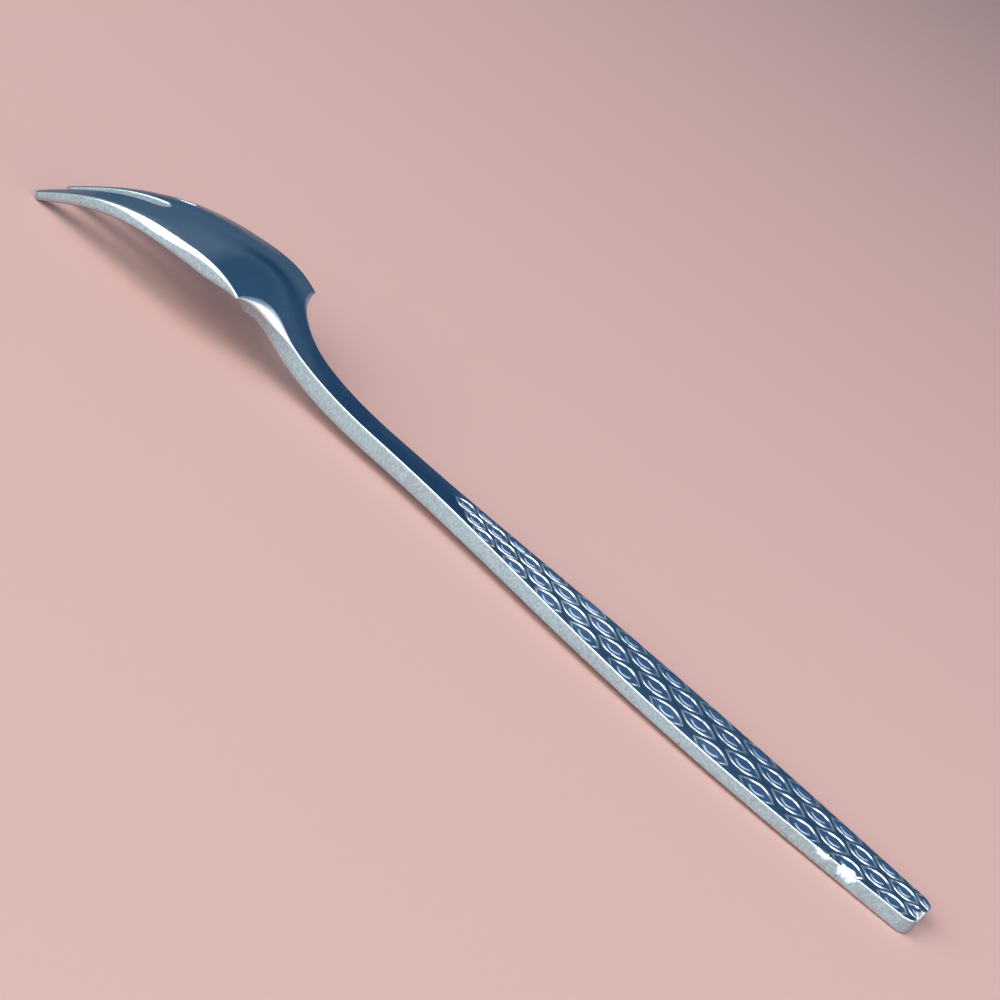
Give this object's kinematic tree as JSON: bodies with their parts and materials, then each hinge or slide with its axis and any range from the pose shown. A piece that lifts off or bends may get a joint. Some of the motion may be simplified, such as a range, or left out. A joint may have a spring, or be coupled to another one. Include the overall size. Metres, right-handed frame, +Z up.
{
  "type": "salad fork",
  "caption": "Salad fork lying face down: arched head with tines and pointed shoulders, slim neck and a long spindle-shaped handle struck with a lattice of leaves.",
  "frame": {"origin": "middle of the box in X and Y, on the surface that the fork lies on", "axes": "+X from the tine tips to the handle's end, +Y across the fork, +Z up out of its back"},
  "size_m": [0.1688, 0.0214, 0.0138],
  "materials": {
    "steel": "polished faces, satin edges"
  },
  "bodies": {
    "root": {"fork": "steel"}
  },
  "joints": []
}
